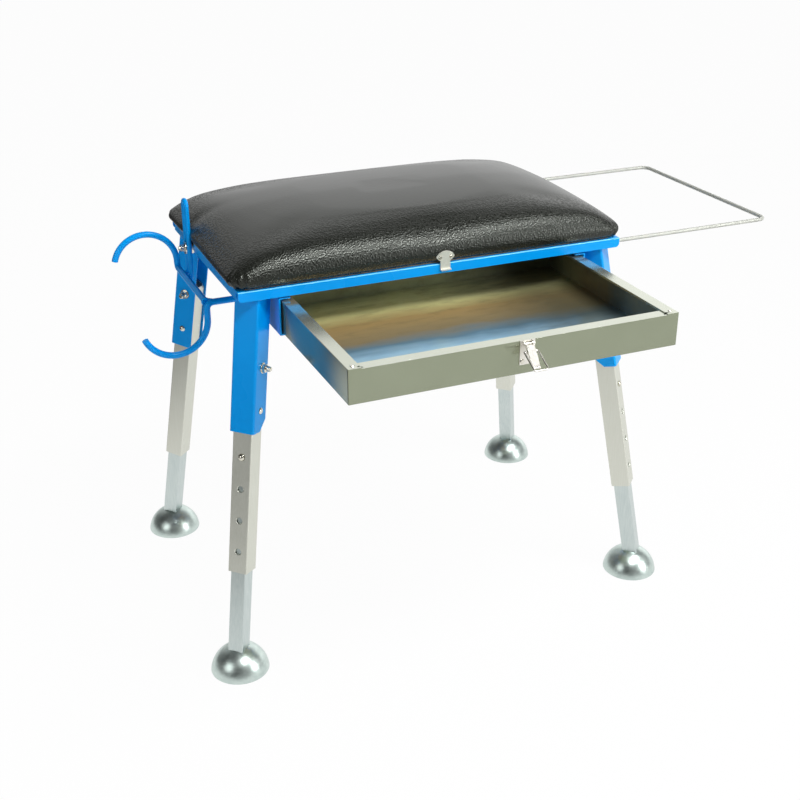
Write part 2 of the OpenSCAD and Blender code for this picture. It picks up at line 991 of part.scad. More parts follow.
module latch_rivet_places() {
    for (s = [-1, 1])
        translate([latch_x + s * latch_rivet_at, front_y, latch_axis_z - 21])
            rotate([90, 0, 0])
                children();
}

module rivets() {
    color(steel) {
        rivet_places() {
            cylinder(h = 0.8, r1 = 2.6, r2 = 1.8);
            translate([0, 0, -2 * tray_t - 0.6])
                cylinder(h = 2 * tray_t + 0.6, r = rivet_r);
        }
        latch_rivet_places() {
            translate([0, 0, -tray_t - 0.6])
                cylinder(h = tray_t + 0.6 + latch_base_t, r = rivet_r);
            translate([0, 0, latch_base_t])
                cylinder(h = 0.9, r1 = 2.8, r2 = 1.9);
        }
    }
}

// Knuckles at both ends of the pin, and the plate behind them
module latch_base() {
    color(steel)
        difference() {
            union() {
                translate([latch_x - latch_base_w / 2, front_y - latch_base_t, base_low])
                    cube([latch_base_w, latch_base_t, latch_base_h]);
                for (s = [-1, 1])
                    translate([latch_x + s * latch_ear_at - latch_ear_t / 2, 0, 0])
                        rotate([90, 0, 90])
                            linear_extrude(latch_ear_t) {
                                translate([front_y - latch_axis_out, latch_axis_z])
                                    circle(latch_ear_r);
                                translate([front_y - latch_axis_out, latch_axis_z - latch_ear_r])
                                    square([latch_axis_out - 0.5, 2 * latch_ear_r]);
                            }
            }
            translate([latch_x, front_y - latch_axis_out, latch_axis_z])
                rotate([0, 90, 0])
                    cylinder(h = 40, r = latch_pin_r, center = true);
            latch_rivet_places()
                cylinder(h = 20, r = rivet_r, center = true);
        }
}

module latch_pin() {
    color(steel)
        translate([latch_x, front_y - latch_axis_out, latch_axis_z])
            rotate([0, 90, 0])
                cylinder(h = latch_pin_l, r = latch_pin_r, center = true);
}

// The lever turns round the pin; the bail hangs in the lever
lever_l = 28;
lever_w = 9.4;
bail_at = 9;
bail_l = 27;
bail_r = 1;
bail_half = 8.2;
bail_in = 4.4;
bail_turn = 2;
lever_side_t = 1.2;
lever_blade_t = 1.2;
lever_out = 2.6;
lever_eye_r = 2.2;
module at_lever() {
    translate([latch_x, front_y - latch_axis_out, latch_axis_z])
        rotate([-lever_tilt, 0, 0])
            children();
}

module latch_lever() {
    color(steel)
        at_lever()
            difference() {
                union() {
                    translate([-lever_w / 2, -lever_out, -lever_l])
                        cube([lever_w, lever_blade_t, lever_l - lever_eye_r - 0.6]);
                    for (s = [-1, 1])
                        translate([s * (lever_w - lever_side_t) / 2 - lever_side_t / 2, 0, 0])
                            rotate([90, 0, 90])
                                linear_extrude(lever_side_t) {
                                    circle(lever_eye_r);
                                    translate([-lever_out, -bail_at - lever_eye_r])
                                        square([lever_out + 1.6, bail_at + lever_eye_r]);
                                }
                    translate([0, -lever_out + lever_blade_t / 2, -lever_l])
                        rotate([0, 90, 0])
                            cylinder(h = lever_w, r = lever_blade_t, center = true);
                }
                rotate([0, 90, 0])
                    cylinder(h = 40, r = latch_pin_r + 0.06, center = true);
                translate([0, 0, -bail_at])
                    rotate([0, 90, 0])
                        cylinder(h = 40, r = bail_r + 0.06, center = true);
            }
}

module latch_bail() {
    drop = bail_at;
    color(steel)
        translate([latch_x, front_y - latch_axis_out, latch_axis_z])
            rotate([-lever_tilt, 0, 0])
                translate([0, 0, -drop])
                    rotate([lever_tilt - bail_tilt, 0, 0]) {
                        for (s = [-1, 1])
                            translate([s * bail_half, 0, -bail_l + bail_turn])
                                cylinder(h = bail_l - bail_turn, r = bail_r);
                        for (s = [-1, 1])
                            translate([s * bail_half, 0, 0])
                                sphere(bail_r);
                        for (s = [-1, 1])
                            translate([s * bail_half, 0, 0])
                                rotate([0, -90 * s, 0])
                                    cylinder(h = bail_in, r = bail_r);
                        for (s = [-1, 1])
                            translate([s * (bail_half - bail_turn), 0, -bail_l + bail_turn])
                                rotate([90, 0, 0])
                                    rotate([0, 0, s > 0 ? -90 : 180])
                                        rotate_extrude(angle = 90)
                                            translate([bail_turn, 0])
                                                circle(bail_r);
                        translate([0, 0, -bail_l])
                            rotate([0, 90, 0])
                                cylinder(h = 2 * (bail_half - bail_turn), r = bail_r, center = true);
                    }
}

rail_front();
rail_back();
rail_left();
rail_right();
seat_board();
cushion();
board_screws();
guide_left();
guide_right();
catch_plate();
catch_screws();
hoop_clips();
rest_rod();
rest_hook();
rest_loop();
rest_bolt();
rest_nut();
channel_fl();
channel_fr();
channel_br();
channel_bl();
pivot_bolts();
pivot_nuts();
pivot_washers();
drawer_tray();
rivets();
latch_base();
latch_pin();
latch_lever();
latch_bail();
wire_hoop();
hoop_collars();
mid_tube_fl();
mid_tube_fr();
mid_tube_br();
mid_tube_bl();
inner_tube_fl();
inner_tube_fr();
inner_tube_br();
inner_tube_bl();
foot_fl();
foot_fr();
foot_br();
foot_bl();
height_button_fl();
height_button_fr();
height_button_br();
height_button_bl();
height_spring_fl();
height_spring_fr();
height_spring_br();
height_spring_bl();
lock_button_fl();
lock_button_fr();
lock_button_br();
lock_button_bl();
lock_spring_fl();
lock_spring_fr();
lock_spring_br();
lock_spring_bl();
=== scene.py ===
# %% [markdown]
# # A folding stool in Blender
# This lesson dresses a folding stool whose steel parts come from a CAD model: a padded seat on a
# blue ring, a pull-out drawer, four legs that fold and telescope, a rod rest and a wire hoop.
# The CAD parts keep their shape and place. What is added here is what CAD leaves out: the soft
# cover, rounded edges that catch the light, welds, threads, and the finish of every surface.

# %% Load the CAD parts
import math
import json

import bpy
import bmesh
import numpy as np
from mathutils import Euler, Matrix, Vector


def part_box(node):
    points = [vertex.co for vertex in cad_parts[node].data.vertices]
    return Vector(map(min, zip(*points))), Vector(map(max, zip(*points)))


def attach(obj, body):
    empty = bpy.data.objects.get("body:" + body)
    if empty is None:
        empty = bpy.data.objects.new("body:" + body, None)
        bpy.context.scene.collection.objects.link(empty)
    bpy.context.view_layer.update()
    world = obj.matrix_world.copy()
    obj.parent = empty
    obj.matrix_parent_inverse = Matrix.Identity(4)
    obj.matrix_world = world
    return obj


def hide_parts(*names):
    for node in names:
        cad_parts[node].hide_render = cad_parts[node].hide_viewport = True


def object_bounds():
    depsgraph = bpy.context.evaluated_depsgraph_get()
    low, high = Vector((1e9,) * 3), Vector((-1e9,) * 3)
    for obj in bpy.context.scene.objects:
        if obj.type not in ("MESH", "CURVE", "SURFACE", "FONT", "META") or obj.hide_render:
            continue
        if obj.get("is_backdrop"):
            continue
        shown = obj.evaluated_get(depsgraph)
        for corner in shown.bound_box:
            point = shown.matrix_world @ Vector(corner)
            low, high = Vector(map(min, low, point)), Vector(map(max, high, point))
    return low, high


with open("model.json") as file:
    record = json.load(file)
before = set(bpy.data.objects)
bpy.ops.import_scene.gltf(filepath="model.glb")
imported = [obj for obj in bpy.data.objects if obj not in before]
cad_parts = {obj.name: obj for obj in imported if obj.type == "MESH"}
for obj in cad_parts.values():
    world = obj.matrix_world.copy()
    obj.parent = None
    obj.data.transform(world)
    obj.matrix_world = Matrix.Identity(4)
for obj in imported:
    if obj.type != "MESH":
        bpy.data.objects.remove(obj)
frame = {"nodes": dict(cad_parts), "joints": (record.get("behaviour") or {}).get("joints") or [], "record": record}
cad_box = [list(corner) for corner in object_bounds()]
nodes = frame["nodes"]
CORNERS = {"fl": (-1, -1), "fr": (1, -1), "br": (1, 1), "bl": (-1, 1)}

# %% [markdown]
# ## The camera
# The photograph was taken from the front left, a little above the seat. The camera's place was
# worked out from the corners of the ring and the feet, so the picture can be compared with the
# photograph point by point. A camera looks down its own -Z, so it is first tipped up from the
# floor by a right angle less its pitch, and then turned about the upright axis. The focal length
# was found in pixels, and the sensor's width turns it into millimetres.

# %% Camera
look_down, look_right = 0.448, 0.408
focal_pixels, picture_pixels, sensor_width = 1235.7, 800, 36
camera_data = bpy.data.cameras.new("camera")
camera = bpy.data.objects.new("camera", camera_data)
bpy.context.scene.collection.objects.link(camera)
bpy.context.scene.camera = camera
camera.location = (-0.5985, -1.4134, 0.9715)
camera.rotation_euler = Euler((math.pi / 2 - look_down, 0, -look_right))
camera_data.sensor_width = sensor_width
camera_data.lens = focal_pixels / picture_pixels * sensor_width
print("lens", round(camera_data.lens, 1), "mm")

# %% [markdown]
# ## Writing shaders as sums
# A material is a web of nodes. Wiring each node by hand is long, so a small class wraps a node's
# output and gives it the signs + - * and /. An expression such as 0.3 + 0.1 * grain then adds its
# own Math nodes. Every other node comes from one method that takes the node's type, its settings
# and what goes into its sockets.

# %% A value that can be added and scaled
class Value:
    """One node's output, for use in sums."""

    def __init__(self, web, socket):
        self.web, self.socket = web, socket

    def math(self, operation, first, second):
        return self.web.node("ShaderNodeMath", {"operation": operation}, first, second)

    def __add__(self, other):
        return self.math("ADD", self, other)

    def __sub__(self, other):
        return self.math("SUBTRACT", self, other)

    def __rsub__(self, other):
        return self.math("SUBTRACT", other, self)

    def __mul__(self, other):
        return self.math("MULTIPLY", self, other)

    def __truediv__(self, other):
        return self.math("DIVIDE", self, other)

    __radd__ = __add__
    __rmul__ = __mul__


# %% A web of nodes
class Web:
    """A node tree, with short ways to add its nodes."""

    def __init__(self, tree):
        self.tree = tree

    def put(self, socket, value):
        """Links a value to a socket, or writes a plain number or colour into it."""
        if isinstance(value, Value):
            self.tree.links.new(value.socket, socket)
        elif isinstance(value, (tuple, list)) and len(value) == 3 and socket.type == "RGBA":
            socket.default_value = (*value, 1)
        else:
            socket.default_value = value

    def node(self, kind, settings=None, *inputs, out=0, **named):
        """Adds a node. The setting stops fills a colour ramp with places and colours."""
        made = self.tree.nodes.new(kind)
        for key, value in (settings or {}).items():
            if key == "stops":
                ramp = made.color_ramp
                for k in range(len(value) - 2):
                    ramp.elements.new((k + 1) / len(value))
                for element, (place, colour) in zip(ramp.elements, sorted(value)):
                    element.position = place
                    element.color = (*colour, 1)
            else:
                setattr(made, key, value)
        for k, value in enumerate(inputs):
            self.put(made.inputs[k], value)
        for key, value in named.items():
            self.put(made.inputs[key.replace("_", " ")], value)
        return None if out is None else Value(self, made.outputs[out])

    def axis(self, vector, letter):
        """One of the three numbers of a vector."""
        return self.node("ShaderNodeSeparateXYZ", None, vector, out=letter)

    def larger(self, first, second):
        return self.node("ShaderNodeMath", {"operation": "MAXIMUM"}, first, second)

    def place(self, scale=(1, 1, 1)):
        """Object coordinates, scaled."""
        here = self.node("ShaderNodeTexCoord", out="Object")
        return self.node("ShaderNodeMapping", None, here, Scale=scale)

    def noise(self, place, scale, detail=2.0, roughness=0.5, distortion=0.0):
        return self.node(
            "ShaderNodeTexNoise", None, Vector=place, Scale=scale, Detail=detail,
            Roughness=roughness, Distortion=distortion,
        )

    def between(self, value, low, high):
        """Spreads a value from low..high to 0..1, clamped."""
        return self.node("ShaderNodeMapRange", None, value, low, high, 0.0, 1.0)

    def mix(self, share, first, second):
        """Mixes two colours, whose sockets are the Mix node's inputs 6 and 7 and its output 2."""
        made = self.tree.nodes.new("ShaderNodeMix")
        made.data_type = "RGBA"
        for k, value in ((0, share), (6, first), (7, second)):
            self.put(made.inputs[k], value)
        return Value(self, made.outputs[2])


# %% A finish
class Finish(Web):
    """A material with its surface shader."""

    def __init__(self, name, **plain):
        self.material = bpy.data.materials.new(name)
        self.material.use_nodes = True
        super().__init__(self.material.node_tree)
        self.shader = self.tree.nodes["Principled BSDF"]
        for socket, value in plain.items():
            self.set(socket.replace("_", " "), value)

    def set(self, socket, value):
        self.put(self.shader.inputs[socket], value)

    def bump(self, height, strength, distance):
        """Adds fine relief. The distance is how high a height of 1 stands, in metres."""
        relief = self.node(
            "ShaderNodeBump", None, Strength=strength, Distance=distance, Height=height,
        )
        self.set("Normal", relief)


# %% [markdown]
# ## Light and background
# A product photograph has a white background and large soft lamps. The world is white where the
# camera looks at it. It lights the object only softly. What shiny surfaces mirror is a studio of
# its own: a bright wall behind the stool, a dark ceiling over it, a soft band of light above its
# front, and less of all that on the left than on the right. The vinyl's grey top, the dark band
# before the front roll and the bright band on the roll all come from there.
#
# Three lamps add direction. A long, narrow one hangs over the front edge, a weak one stands to the
# left and gives each foot its second highlight, and one at the front right lights the drawer's
# front and the front faces of the legs.
#
# The floor is white for the camera too, and a small matte share keeps the object's shadow on it.
# In mirrors it is bright near the stool and darker far to the left and behind, where the paper of
# a studio ends. Its plane lies two metres back, so its own coordinates start there.

# %% World
world = bpy.data.worlds.new("studio")
bpy.context.scene.world = world
world.use_nodes = True
studio = Web(world.node_tree)
studio.tree.nodes.clear()
path = studio.tree.nodes.new("ShaderNodeLightPath")
by_camera = Value(studio, path.outputs["Is Camera Ray"])
by_gloss = Value(studio, path.outputs["Is Glossy Ray"])
by_glass = Value(studio, path.outputs["Is Transmission Ray"])
toward = studio.node("ShaderNodeTexCoord", out="Generated")
to_right, to_back, to_top = (studio.axis(toward, letter) for letter in "XYZ")
over = studio.node("ShaderNodeMath", {"operation": "ARCTAN2"}, to_top, to_back) / math.pi
brightness = [
    (0.0, 1.4), (0.24, 1.25), (0.36, 0.28), (0.54, 0.18),
    (0.62, 0.6), (0.68, 0.6), (0.76, 0.22), (1.0, 0.5),
]
back_to_front = [(place, (bright,) * 3) for place, bright in brightness]
height = studio.node("ShaderNodeValToRGB", {"stops": back_to_front}, over)
side = 0.12 + 0.56 * studio.between(to_right, -0.6, 0.1) + 0.5 * studio.between(to_right, 0, 1)
soft = studio.node("ShaderNodeBackground", None, (0.96, 0.98, 1.0), 0.17)
mirrored = studio.node("ShaderNodeBackground", None, height, side)
white = studio.node("ShaderNodeBackground", None, (1.0, 1.0, 1.0), 1.0)
glossy = studio.node(
    "ShaderNodeMixShader", None, studio.larger(by_gloss, by_glass), soft, mirrored,
)
shown = studio.node("ShaderNodeMixShader", None, by_camera, glossy, white)
studio.node("ShaderNodeOutputWorld", None, shown, out=None)
bpy.context.scene.view_settings.view_transform = "Standard"
print("world nodes", len(studio.tree.nodes))


# %% Lamps
def lamp(name, place, size, watts):
    """A rectangular soft lamp at a place, turned to the middle of the stool."""
    data = bpy.data.lights.new(name, "AREA")
    data.shape = "RECTANGLE"
    data.size, data.size_y = size
    data.energy = watts
    made = bpy.data.objects.new(name, data)
    bpy.context.scene.collection.objects.link(made)
    made.location = place
    middle = Vector((0, -0.05, 0.4))
    made.rotation_euler = (middle - Vector(place)).to_track_quat("-Z", "Y").to_euler()


lamp("lamp_key", (0.5, -1.05, 2.1), (1.5, 0.28), 38)
lamp("lamp_left", (-1.5, -0.6, 0.85), (0.8, 0.8), 4.5)
lamp("lamp_right", (1.5, -1.7, 1.0), (0.7, 1.2), 18.5)

# %% Floor
floor_back = 2.0
bpy.ops.object.select_all(action="DESELECT")
bpy.ops.mesh.primitive_plane_add(size=14, location=(0, floor_back, -0.0004))
floor = bpy.context.object
floor.name = "floor"
floor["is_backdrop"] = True
paper = Finish(
    "floor_white", Roughness=0.9, Base_Color=(0.9, 0.9, 0.9), Specular_IOR_Level=0.1,
)
path = paper.tree.nodes.new("ShaderNodeLightPath")
by_camera = Value(paper, path.outputs["Is Camera Ray"])
by_gloss = Value(paper, path.outputs["Is Glossy Ray"])
where = paper.place()
to_left = 0.0 - paper.axis(where, "X")
slanted = to_left + 0.5 * paper.axis(where, "Y")
far_left = paper.between(to_left, 0.58, 0.85)
behind = paper.between(slanted, 0.83 - 0.5 * floor_back, 0.93 - 0.5 * floor_back)
shade = paper.larger(0.4 * far_left, 0.92 * behind)
lit = paper.node("ShaderNodeEmission", None, (1.0, 1.0, 1.0), 1.0)
dimmed = paper.node("ShaderNodeEmission", None, (1.0, 1.0, 1.0), 1.02 - shade)
glow = paper.node("ShaderNodeMixShader", None, by_gloss, lit, dimmed)
matte = Value(paper, paper.shader.outputs[0])
both = paper.node("ShaderNodeMixShader", None, by_camera * 0.97 + by_gloss, matte, glow)
paper.put(paper.tree.nodes["Material Output"].inputs["Surface"], both)
floor.data.materials.append(paper.material)
print("floor", [round(v, 2) for v in floor.dimensions], "m")

# %% [markdown]
# ## Finishes of the steel and aluminium parts
# Powder coat is a thick, glossy plastic layer. It shows a very fine orange peel in its highlights.
# The paler blue on the rails' rounded edges is a painted highlight, the bright line an edge catches.
# Extruded aluminium has faint lines along its length and a satin sheen, while zinc plate is cooler
# and mottled. Each finish reads Object coordinates, which are metres in the stool's own frame, so a
# scale of 100 gives a pattern about 10 mm wide.


# %% Paint
def powder_coat(name, colour, deep):
    """Glossy paint that varies a little between two colours."""
    finish = Finish(name, Specular_IOR_Level=0.14, Coat_Weight=0.12, Coat_Roughness=0.08)
    here = finish.place()
    broad = finish.noise(here, 9, 3)
    finish.set("Base Color", finish.mix(finish.between(broad, 0.3, 0.75), deep, colour))
    finish.set("Roughness", 0.22 + 0.14 * broad)
    finish.bump(finish.noise(here, 620, 2), 0.12, 0.0004)
    return finish.material


blue_paint = powder_coat("blue_powder_coat", (0.0, 0.37, 0.94), (0.0, 0.32, 0.87))
# A paler blue for the rails' rounded edges: a painted highlight, the bright line that an edge catches.
blue_edge_highlight = powder_coat("blue_painted_edge_highlight", (0.25, 0.72, 1.0), (0.15, 0.62, 0.97))


# %% Bare metals
def metal(name, colour, dark, rough, grain, lines, bare=1.0):
    """A metal with a cloudy colour, a grain that may be drawn out, and roughness that varies."""
    finish = Finish(name, Metallic=bare)
    cloudy = finish.noise(finish.place(), 30, 4, 0.6)
    fine = finish.noise(finish.place(scale=grain), 1, 3, 0.6)
    share = finish.between(cloudy * 0.3 + fine * 0.7, 0.3, 0.7)
    finish.set("Base Color", finish.mix(share, dark, colour))
    finish.set("Roughness", rough + 0.12 * fine + 0.06 * cloudy)
    finish.bump(fine, lines, 0.0002)
    return finish.material


aluminium = metal(
    "satin_aluminium", (0.73, 0.74, 0.67), (0.65, 0.66, 0.58), 0.34, (900, 900, 25), 0.15,
)
zinc_tube = metal(
    "zinc_plated_tube", (0.63, 0.69, 0.67), (0.5, 0.57, 0.56), 0.24, (500, 500, 40), 0.08,
)
zinc_dome = metal(
    "polished_zinc", (0.68, 0.77, 0.73), (0.48, 0.57, 0.54), 0.25, (90, 90, 160), 0.12,
)
zinc_wire = metal(
    "zinc_wire", (0.54, 0.55, 0.5), (0.45, 0.46, 0.42), 0.45, (40, 90, 90), 0.01, bare=0.35,
)
satin_nickel = metal(
    "satin_nickel", (0.84, 0.83, 0.74), (0.72, 0.71, 0.62), 0.26, (300, 300, 300), 0.05, bare=0.6,
)
nickel = metal(
    "nickel_plate", (0.83, 0.81, 0.75), (0.72, 0.7, 0.64), 0.2, (300, 300, 300), 0.06,
)
fastener = metal(
    "zinc_fastener", (0.85, 0.83, 0.74), (0.52, 0.5, 0.42), 0.12, (400, 400, 400), 0.12,
)
print("finishes", [m.name for m in bpy.data.materials])

# %% [markdown]
# ## Finishes of the drawer, the board, the washers and the seat
# The drawer is zinc-plated sheet. Outside it is a satin olive grey, and its rims are painted
# brighter: a painted highlight of the bright wall their tops mirror. Inside, blue, brown and yellow
# bands are painted across the floor from the front to the back: painted reflections of the cover,
# the blue ring and the board above it, a painted highlight in yellow, and painted shade that darkens
# towards the back under the seat. The bands also fade to a dark grey at the right end. The walls
# have the same painted bands, a little darker as painted shade. The seat's vinyl is embossed with
# a pebble grain: rounded cells with fine valleys between them, made from cell noise. It is nearly flat on top,
# where the cover is
# stretched, and stands out on the rolls at the front, the back and the ends.


# %% Drawer sheet
def drawer_sheet(name, rough, painted_bands=False, rim=False, wall=False):
    """Zinc-plated sheet: plain, paler on the rims as a painted highlight, or with painted reflection and shade
    bands, darker on the walls as painted shade.
    """
    finish = Finish(name, Metallic=0.4 if painted_bands else 0.85)
    here = finish.place()
    cloudy = finish.noise(here, 14, 4, 0.6)
    # Rims: a paler colour, a painted highlight of the bright wall that their tops mirror.
    if rim:
        colour = finish.mix(cloudy, (0.53, 0.55, 0.46), (0.66, 0.69, 0.6))
    else:
        colour = finish.mix(cloudy, (0.27, 0.295, 0.207), (0.325, 0.355, 0.26))
    # Floor: bands painted from front to back, painted reflections of the cover, ring and board above, a painted
    # yellow highlight, and painted shade under the seat at the back.
    if painted_bands:
        wander = finish.noise(finish.place(scale=(5, 16, 16)), 1, 4, 0.65)
        front_to_back = finish.between(finish.axis(here, "Y") + 0.05 * wander, -0.255, -0.035)
        bands = [
            (0.0, (0.80, 0.95, 0.90)), (0.11, (0.46, 0.7, 0.82)), (0.22, (0.17, 0.3, 0.38)),
            (0.33, (0.36, 0.29, 0.16)), (0.54, (0.54, 0.38, 0.16)), (0.66, (0.8, 0.75, 0.34)),
            (0.79, (0.95, 0.95, 0.5)), (0.9, (0.5, 0.53, 0.3)), (1.0, (0.22, 0.24, 0.15)),
        ]
        painted_reflections = finish.node("ShaderNodeValToRGB", {"stops": bands}, front_to_back)
        blotches = finish.noise(finish.place(scale=(28, 90, 28)), 1, 4, 0.7)
        # Dark blotches, stronger towards the back.
        blotches_toward_back = 0.4 * finish.between(blotches, 0.5, 0.68) * front_to_back
        painted_reflections = finish.mix(blotches_toward_back, painted_reflections, (0.12, 0.13, 0.08))
        # Darker towards the right end.
        right_end = finish.between(finish.axis(here, "X") + 0.14 * wander, 0.1, 0.2)
        colour = finish.mix(0.7 * right_end, painted_reflections, (0.09, 0.09, 0.055))
    # Walls: mixed a little darker, painted shade inside the drawer.
    if wall:
        colour = finish.mix(0.35, colour, (0.05, 0.055, 0.035))
    finish.set("Base Color", colour)
    finish.set("Roughness", rough + 0.1 * cloudy)
    finish.bump(cloudy, 0.04, 0.0004)
    return finish.material


drawer_outside = drawer_sheet("drawer_outside", 0.13)
drawer_inside = drawer_sheet("drawer_inside", 0.2, painted_bands=True)
drawer_wall = drawer_sheet("drawer_wall", 0.2, painted_bands=True, wall=True)
drawer_rim = drawer_sheet("drawer_rim", 0.14, rim=True)


# %% Plywood
def plywood_finish(name):
    """Wood grain along X, with the plies as bands one above the other."""
    finish = Finish(name, Roughness=0.62)
    grain = finish.noise(finish.place(scale=(3, 60, 240)), 1, 5, 0.6, 0.6)
    plies = finish.node(
        "ShaderNodeTexWave", {"bands_direction": "Z"}, Vector=finish.place(), Scale=70.0,
    )
    colour = finish.mix(grain, (0.34, 0.2, 0.09), (0.6, 0.42, 0.22))
    finish.set("Base Color", finish.mix(0.25 * plies, colour, (0.22, 0.12, 0.05)))
    finish.bump(grain, 0.3, 0.0003)
    return finish.material


plywood = plywood_finish("plywood")


# %% Nylon
def nylon_finish(name):
    """White nylon with fine specks, a little light passing under its surface."""
    finish = Finish(name, Roughness=0.45, Subsurface_Weight=0.1)
    speck = finish.noise(finish.place(), 300, 2)
    finish.set("Base Color", finish.mix(speck, (0.72, 0.72, 0.68), (0.84, 0.84, 0.8)))
    finish.bump(speck, 0.1, 0.0002)
    return finish.material


nylon = nylon_finish("nylon")


# %% Vinyl
def vinyl_finish(name):
    """Black vinyl, with its pebble grain strongest where the cover is rolled."""
    finish = Finish(name, Specular_IOR_Level=0.5, Specular_Tint=(0.95, 1.0, 0.92))
    here = finish.place()
    wobble = finish.node(
        "ShaderNodeVectorMath", {"operation": "SCALE"}, finish.noise(here, 200, 1), Scale=0.002,
    )
    bent = finish.node("ShaderNodeVectorMath", {"operation": "ADD"}, here, wobble)
    cells = finish.node("ShaderNodeTexVoronoi", None, Vector=bent, Scale=370.0, Randomness=0.8)
    pebble = finish.between(cells, 0.0, 0.65)
    dome = 1.0 - pebble * pebble
    fine = finish.noise(here, 1100, 1)
    broad = finish.noise(here, 7, 3)
    streaks = finish.noise(finish.place(scale=(12, 700, 700)), 1, 2)
    end, side = finish.axis(here, "X"), finish.axis(here, "Y")
    rolled = finish.larger(
        finish.between(side * side, 0.006, 0.013), finish.between(end * end, 0.045, 0.062),
    )
    finish.set("Base Color", finish.mix(broad, (0.005, 0.0058, 0.0042), (0.0085, 0.0095, 0.0072)))
    finish.set("Roughness", 0.28 + 0.04 * streaks + rolled * (0.32 * pebble * pebble - 0.18))
    finish.bump(dome * (0.15 + 0.85 * rolled) + 0.08 * fine, 0.65, 0.0004)
    return finish.material


vinyl = vinyl_finish("black_vinyl")
print("finishes", len(bpy.data.materials))

# %% [markdown]
# ## Giving each CAD part its finish
# A CAD part whose shape is right stays as it is and only gets a better material. The slot of each
# part is known from the record, so a short table from slot to finish is enough.

# %% Finishes by slot
by_slot = {
    "blue_paint": blue_paint, "black_vinyl": vinyl, "plywood": plywood,
    "aluminium_tube": aluminium, "zinc_tube": zinc_tube, "zinc_dome": zinc_dome,
    "drawer_sheet": drawer_outside, "zinc_wire": zinc_wire, "nylon": nylon,
    "bright_latch": nickel, "steel_fastener": fastener,
}
slot_of = {row["node"]: row["material_slot"] for row in frame["record"]["subparts"]}
for name, part in nodes.items():
    part.data.materials.clear()
    part.data.materials.append(by_slot[slot_of[name]])
print(len(slot_of), "parts finished")

# %% [markdown]
# ## Rounded edges on sheet and tube
# No real edge is perfectly sharp, and the thin bright line along an edge is what makes a folded
# sheet look like metal. The CAD meshes are loose triangles, so a copy is merged and its flat
# triangles are joined into whole faces. A small bevel then rounds what is sharper than 32 degrees.
#
# A fold is rounder than a cut edge. On the ring, the channels and the drawer, the long folds are
# rounded first, with a wider bevel that follows weights on the edges. The thin rims of a sheet get
# less, as far as they have room. The new faces on the rails take a paler blue, a painted highlight
# along their edges. Weighted normals keep the flat faces flat in the light.

# %% Tools for whole pieces
body_of_part = {
    part: body
    for body, parts in frame["record"]["behaviour"]["bodies"].items()
    for part in parts
}


def alone(piece):
    """Selects one piece and makes it active."""
    bpy.ops.object.select_all(action="DESELECT")
    piece.select_set(True)
    bpy.context.view_layer.objects.active = piece


def apply(piece, kind, **settings):
    """Adds a modifier and applies it."""
    alone(piece)
    modifier = piece.modifiers.new(kind.lower(), kind)
    for key, value in settings.items():
        setattr(modifier, key, value)
    bpy.ops.object.modifier_apply(modifier=modifier.name)


def seat(piece, body):
    """Puts a finished piece on its body."""
    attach(piece, body)
    return piece


def merged_copy(part, name):
    """A copy of a CAD part as one clean mesh."""
    piece = nodes[part].copy()
    piece.data = nodes[part].data.copy()
    piece.parent = None
    for key in list(piece.keys()):
        del piece[key]
    piece.name = name
    bpy.context.scene.collection.objects.link(piece)
    alone(piece)
    bpy.ops.object.mode_set(mode="EDIT")
    bpy.ops.mesh.select_all(action="SELECT")
    bpy.ops.mesh.remove_doubles(threshold=0.000002)
    bpy.ops.mesh.dissolve_limited(angle_limit=math.radians(0.4))
    bpy.ops.object.mode_set(mode="OBJECT")
    return piece


# %% Rounding
LONG, BENT, AT_BOX = 0.03, 0.5, 0.0003
SHARP, SMOOTH = math.radians(32), math.radians(40)


def round_folds(piece, width, outside):
    """Rounds the long convex edges of a sheet, or only those on the outside of its box."""
    mesh = bmesh.new()
    mesh.from_mesh(piece.data)
    marks = mesh.edges.layers.float.new("bevel_weight_edge")
    low = [min(v.co[k] for v in mesh.verts) + AT_BOX for k in range(3)]
    high = [max(v.co[k] for v in mesh.verts) - AT_BOX for k in range(3)]
    for edge in mesh.edges:
        length = edge.calc_length()
        if length < LONG or len(edge.link_faces) != 2 or not edge.is_convex:
            continue
        at = (edge.verts[0].co + edge.verts[1].co) / 2
        if outside and sum(at[k] < low[k] or at[k] > high[k] for k in range(3)) < 2:
            continue
        if edge.calc_face_angle() > BENT:
            narrow = min(face.calc_area() for face in edge.link_faces) / length
            edge[marks] = min(1.0, narrow / (2.4 * width))
    mesh.to_mesh(piece.data)
    mesh.free()
    apply(
        piece, "BEVEL", width=width, segments=4, limit_method="WEIGHT",
        material=len(piece.data.materials) - 1, use_clamp_overlap=outside,
    )


def shade_flat_and_round(piece):
    """Smooths what is rounded and keeps the flat faces flat."""
    alone(piece)
    if piece.data.has_custom_normals:
        bpy.ops.mesh.customdata_custom_splitnormals_clear()
    bpy.ops.object.shade_smooth_by_angle(angle=SMOOTH)
    apply(piece, "WEIGHTED_NORMAL", keep_sharp=True)


def rounded(part, width, folds=0, outside=False, edge=None):
    """Replaces a CAD part by its copy with rounded edges, whose folds may take a second material, as the rails
    take a painted highlight.
    """
    piece = merged_copy(part, "round_" + part)
    if edge:
        piece.data.materials.append(edge)
    if folds:
        round_folds(piece, folds, outside)
    apply(
        piece, "BEVEL", width=width, segments=2, limit_method="ANGLE",
        angle_limit=SHARP, use_clamp_overlap=True,
    )
    shade_flat_and_round(piece)
    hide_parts(part)
    return seat(piece, body_of_part[part])


